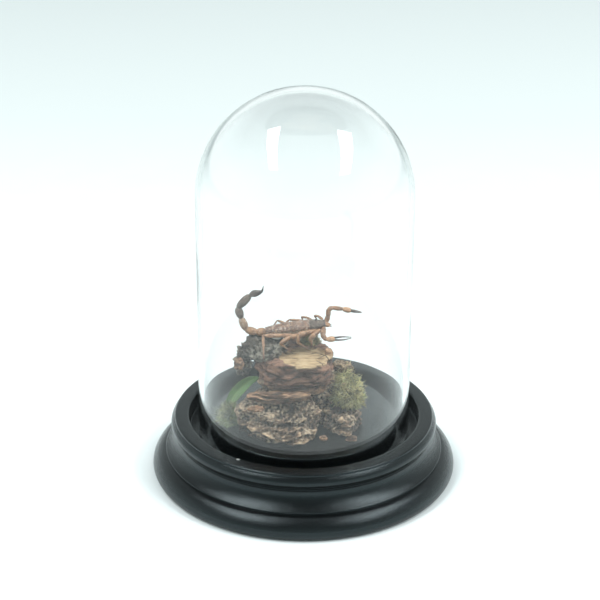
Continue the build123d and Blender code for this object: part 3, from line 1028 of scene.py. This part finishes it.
head = shell_piece(
    "head_shield", trunk.length - 0.1 * MM, trunk.length + head_length, head_width, head_height,
    -0.1, rise=0.02, lip=0.03, grit=0.07, keels=False,
)
under = Skin("head_parts")
under.body(
    [trunk_point(trunk.length + head_length * i / 10, 0, -0.35 * MM) for i in range(11)],
    [head_width(trunk.length + head_length * i / 10) * (0.86 if 0 < i < 10 else 0.6) for i in range(11)],
    sides=24, tones=(0.6, 0.6), flat=0.72, rough=0.06,
)
for across in (-0.34, 0.34):
    eye = trunk_point(trunk.length + 0.42 * head_length, across * MM, 1.95 * MM)
    under.joint(eye, eye + trunk_up * 0.3 * MM, 0.3 * MM, 0.26 * MM, tones=(0.0, 0.0))
settle(head, "mottled_cuticle", HEAD, "scorpion_carapace")
settle(under.finish(), "tan_cuticle", TAN)
eyes = Skin("eyes")
for across in (-0.34, 0.34):
    spot = trunk_point(trunk.length + 0.42 * head_length, across * MM, 2.2 * MM)
    eyes.joint(spot, spot + (trunk_up + trunk_side * across) * 0.12 * MM, 0.22 * MM, 0.2 * MM)
for across in (-1.45, 1.45):
    for step in range(3):
        spot = trunk_point(trunk.length + head_length * (0.97 - 0.06 * step), across * MM, 0.75 * MM)
        eyes.joint(spot, spot + trunk_up * 0.05 * MM, 0.12 * MM, 0.12 * MM, steps=6)
settle(eyes.finish(), "dark_cuticle", EYE)

jaws = Skin("chelicerae")
for across in (-0.75, 0.75):
    start = waist + trunk_dir * head_length + Vector((0, across * MM, -0.2 * MM))
    tip = start + mm(1.5, -0.1 * across, -0.2)
    jaws.joint(start, tip, 0.62 * MM, 0.42 * MM, tones=(0.7, 0.5), rough=0.1)
    for claw in (-0.25, 0.25):
        jaws.joint(tip, tip + mm(0.7, claw, -0.35), 0.2 * MM, 0.07 * MM, tones=(0.2, 0.0), steps=8, sides=8)
settle(jaws.finish(), "tan_cuticle", TAN, "scorpion_chelicerae")

# ---- scorpion: tail
tail_joints = [
    mm(-14.5, 4.0, 55.0), mm(-18.0, 4.0, 54.8), mm(-22.0, 3.5, 56.0),
    mm(-23.8, 3.2, 61.0), mm(-25.0, 3.0, 65.3), mm(-20.6, 2.5, 70.5),
]
for number, (a, b) in enumerate(zip(tail_joints, tail_joints[1:]), 1):
    ring = Skin(f"tail_ring_{number}")
    ring.joint(
        a, b, 0.86 * MM, 0.98 * MM, swell=0.58, past=0.22, tones=(0.5, 0.62), steps=26, sides=48,
        ridges=8, ridge=0.085, rough=0.08, flat=0.96, up=(0, 1, 0),
    )
    last = number > 3
    settle(
        ring.finish(), "dark_cuticle" if last else "tan_cuticle",
        (TAN, TAN, MOTTLED, DARK, DARK)[number - 1], f"scorpion_tail_segment_{number}",
    )
sting_route = [
    mm(-20.4, 2.5, 70.7), mm(-19.0, 2.4, 71.4), mm(-17.3, 2.3, 71.9), mm(-16.0, 2.2, 72.7),
    mm(-15.5, 2.2, 74.8),
]
sting_radii = [0.75, 1.3, 0.95, 0.42, 0.07]
curve = smooth_run(sting_route, 8)
radius_run = [r.x * MM for r in smooth_run([Vector((r, 0)) for r in sting_radii], 8)]
sting = Skin("sting_bulb").body(curve, radius_run, sides=32, tones=(0.6, 0.1), rough=0.07, up=(0, 1, 0))
settle(sting.finish(), "dark_cuticle", DARK, "scorpion_telson")

# ---- scorpion: legs and claws
leg_radii = {"right": [0.7, 1.02, 0.95, 0.66, 0.42], "left": [0.5, 0.56, 0.5, 0.4, 0.34]}
leg_joints = {
    "right_1": [(5.8, 1.5, 56.8), (3.7, -1.3, 56.3), (2.2, -1.7, 54.8), (3.0, -1.0, 51.8)],
    "right_2": [
        (4.4, 1.6, 56.5), (0.0, -1.8, 57.3), (-2.2, -2.6, 56.8), (-2.5, -3.0, 53.8), (2.0, 0.0, 49.6)
    ],
    "right_3": [
        (2.8, 1.8, 55.9), (-1.4, -0.8, 55.6), (-5.6, -3.0, 56.1), (-9.0, -4.0, 53.9), (-4.7, -3.2, 50.0)
    ],
    "right_4": [
        (1.3, 2.1, 55.2), (-3.2, 0.4, 54.6), (-8.7, -0.6, 55.6), (-15.4, -3.4, 56.8), (-14.9, -10.6, 50.8)
    ],
    "left_1": [(6.0, 7.0, 57.0), (6.9, 8.7, 58.0), (5.2, 9.8, 58.8), (3.8, 10.3, 58.7), (4.9, 11.2, 56.6)],
    "left_2": [
        (4.8, 7.0, 56.5), (3.0, 8.8, 57.3), (1.0, 9.6, 58.2), (-1.1, 10.2, 58.2), (-0.4, 11.2, 55.7)
    ],
    "left_3": [
        (3.5, 7.0, 56.2), (-0.4, 9.4, 56.8), (-3.2, 10.0, 56.9), (-5.8, 10.6, 56.7), (-8.4, 11.4, 54.0)
    ],
    "left_4": [
        (2.1, 7.0, 55.2), (-3.2, 8.3, 54.9), (-7.7, 9.0, 56.2), (-10.4, 9.6, 56.8), (-12.4, 10.2, 53.7)
    ],
}
for side, joints in leg_joints.items():
    leg = Skin(f"leg_{side}")
    places = [mm(*joint) for joint in joints]
    shares = leg_radii[side.split("_")[0]][: len(places)]
    for i, (a, b) in enumerate(zip(places, places[1:])):
        ra, rb = shares[i] * MM, shares[i + 1] * MM
        if i == len(places) - 2:
            knee = a + (b - a) * 0.55
            leg.joint(a, knee, ra * 0.85, rb * 0.95, tones=(0.6, 0.5), sides=14, flat=0.85)
            leg.joint(knee, b, rb * 0.85, rb * 0.5, tones=(0.5, 0.35), sides=12)
            onward = (b - knee).normalized() * 0.7 * MM
            for spread in (-0.35, 0.35):
                claw = b + onward + Vector((0, spread * MM, -0.1 * MM))
                leg.joint(b, claw, 0.11 * MM, 0.03 * MM, tones=(0.2, 0.0), steps=6, sides=6)
        else:
            leg.joint(
                a, b, ra, rb * 0.92, swell=0.16, tones=(0.62, 0.42), sides=18, ridges=3, ridge=0.06,
                rough=0.08, flat=0.85,
            )
    settle(leg.finish(), "tan_cuticle", TAN, f"scorpion_leg_{side}")

arm_joints = {
    "left": [
        (7.2, 6.3, 57.5), (8.4, 7.5, 57.7), (9.1, 8.0, 59.8),
        (9.1, 8.3, 62.2), (10.6, 8.5, 62.9), (14.6, 8.5, 62.4),
    ],
    "right": [(7.4, 2.5, 57.1), (7.2, -0.6, 57.6), (6.9, -1.9, 56.7), (7.5, -2.9, 55.7), (8.4, -3.4, 55.4)],
}
arm_radii = {"left": [0.7, 0.9, 0.85, 0.8, 0.8, 0.7], "right": [0.7, 0.95, 0.9, 0.85, 0.7]}
finger_tips = {"left": (22.0, 8.4, 61.0), "right": (17.6, -4.6, 56.7)}
hand_length = 3.0 * MM
finger_gaps = {"left": 0.28, "right": 0.55}
for side, joints in arm_joints.items():
    arm = Skin(f"arm_{side}")
    places = [mm(*joint) for joint in joints]
    for a, b, ra, rb in zip(places, places[1:], arm_radii[side], arm_radii[side][1:]):
        arm.joint(
            a, b, ra * MM, rb * MM * 0.95, swell=0.14, tones=(0.55, 0.4), sides=20, ridges=4,
            ridge=0.07, rough=0.08,
        )
    settle(arm.finish(), "tan_cuticle", TAN, f"scorpion_arm_{side}")
    wrist, tip = places[-1], mm(*finger_tips[side])
    reach = (tip - wrist).normalized()
    spread = Vector((0, 0, finger_gaps[side] * MM))
    hand = Skin(f"hand_{side}")
    hand.joint(
        wrist, wrist + reach * hand_length, 0.62 * MM, 0.85 * MM, swell=0.5, tones=(0.7, 0.62),
        steps=18, sides=28, ridges=6, ridge=0.05, rough=0.05, flat=0.92,
    )
    hand_piece = hand.finish()
    for finger, label in ((spread, "fixed"), (-spread, "moving")):
        start = wrist + reach * (hand_length * 0.86) + finger * 0.8
        route = smooth_run([start, (start + tip) / 2 + finger * 0.75, tip + finger * 0.35], 10)
        thin = [(0.42 - 0.3 * i / (len(route) - 1)) * MM for i in range(len(route))]
        blade = Skin(f"finger_{label}_{side}")
        blade.body(route, thin, sides=12, tones=(0.35, 0.75), rough=0.04)
        for i in range(3, len(route) - 2, 2):
            tooth = route[i] - finger.normalized() * thin[i]
            point = tooth - finger.normalized() * 0.06 * MM
            blade.joint(tooth, point, 0.07 * MM, 0.04 * MM, steps=5, sides=6, tones=(0.2, 0.1))
        piece = blade.finish()
        if label == "fixed":
            settle(piece, "dark_cuticle", DARK)
        else:
            settle(piece, "dark_cuticle", DARK, f"scorpion_finger_{side}")
    settle(hand_piece, "tan_cuticle", TAN, f"scorpion_hand_{side}")


# ---- stage, light and camera
def pale_floor():
    made, tree, shader, where = new_material("pale_floor")
    paper = grain(tree, where, 40, 3, 0.5)
    # The floor is painted darker beyond 0.26 to 0.40 m behind the object: painted shade, standing in for
    # the light falling off across the far floor.
    depth = one_axis(tree, where, "Y")
    far = between(tree, depth, 0.26, 0.40)
    near_paper = ramp(tree, paper, (0.3, (0.87, 0.94, 0.95)), (0.7, (0.89, 0.96, 0.97)))
    feed(
        tree, shader, Base_Color=blend_colours(tree, far, near_paper, (0.82, 0.90, 0.90)), Roughness=0.9,
        Specular_IOR_Level=0.2,
    )
    return made


floor_half = 3.0
floor_mesh = bpy.data.meshes.new("floor")
floor_mesh.from_pydata(
    [(x * floor_half, y * floor_half, 0) for x, y in ((-1, -1), (1, -1), (1, 1), (-1, 1))],
    [], [(0, 1, 2, 3)],
)
floor = link("floor", floor_mesh)
floor_mesh.materials.append(pale_floor())


def sky():
    """A pale studio: bright towards the horizon, grey overhead and dimmer behind the camera."""
    world = bpy.data.worlds.new("studio")
    scene.world = world
    world.use_nodes = True
    tree = world.node_tree
    light = tree.nodes["Background"]
    way = add(tree, "ShaderNodeTexCoord").outputs["Generated"]
    up = ramp(
        tree, one_axis(tree, way, "Z"),
        (0.0, (0.98, 1.0, 1.0)), (0.3, (0.95, 0.99, 0.985)), (0.55, 0.52), (0.9, 0.3),
    )
    away = between(tree, one_axis(tree, way, "Y"), -1.0, 0.1)
    front = ramp(tree, away, (0.0, (0.50, 0.57, 0.57)), (0.9, (0.94, 1.0, 1.0)))
    tree.links.new(blend_colours(tree, 1.0, up, front, "MULTIPLY"), light.inputs["Color"])
    light.inputs["Strength"].default_value = sky_strength


def softbox(name, rear, front, width, glow):
    """A level strip softbox at lamp height between its rear and front ends, facing down."""
    rear, front = Vector(rear), Vector(front)
    run = rear - front
    lamp = bpy.data.lights.new(name, "AREA")
    lamp.shape = "RECTANGLE"
    lamp.size, lamp.size_y = width, run.length
    lamp.energy = glow * math.pi * width * run.length
    made = bpy.data.objects.new(name, lamp)
    scene.collection.objects.link(made)
    made.location = (*((rear + front) / 2), lamp_height)
    made.rotation_euler = (0, 0, math.atan2(-run.x, run.y))


sky_strength = 1.06
lamp_height = 1.15
sky()
softbox("left_softbox", (-0.49, 0.235), (-0.80, -0.825), 0.23, 14.0)
softbox("right_softbox", (0.64, 0.26), (1.16, -0.905), 0.31, 12.2)

camera_data = bpy.data.cameras.new("camera")
camera = bpy.data.objects.new("camera", camera_data)
scene.collection.objects.link(camera)
scene.camera = camera
camera_data.sensor_width, camera_data.lens = 36.0, 113.08
camera_data.clip_start, camera_data.clip_end = 0.05, 20.0
camera.location = (0, -0.63754, 0.36466)
camera_down, camera_left, camera_roll = 24.831, 0.1486, -0.285
camera.rotation_euler = (
    Matrix.Rotation(math.radians(camera_left), 3, "Z")
    @ Matrix.Rotation(math.radians(90 - camera_down), 3, "X")
    @ Matrix.Rotation(math.radians(-camera_roll), 3, "Z")
).to_euler()
scene.view_settings.view_transform = "Standard"
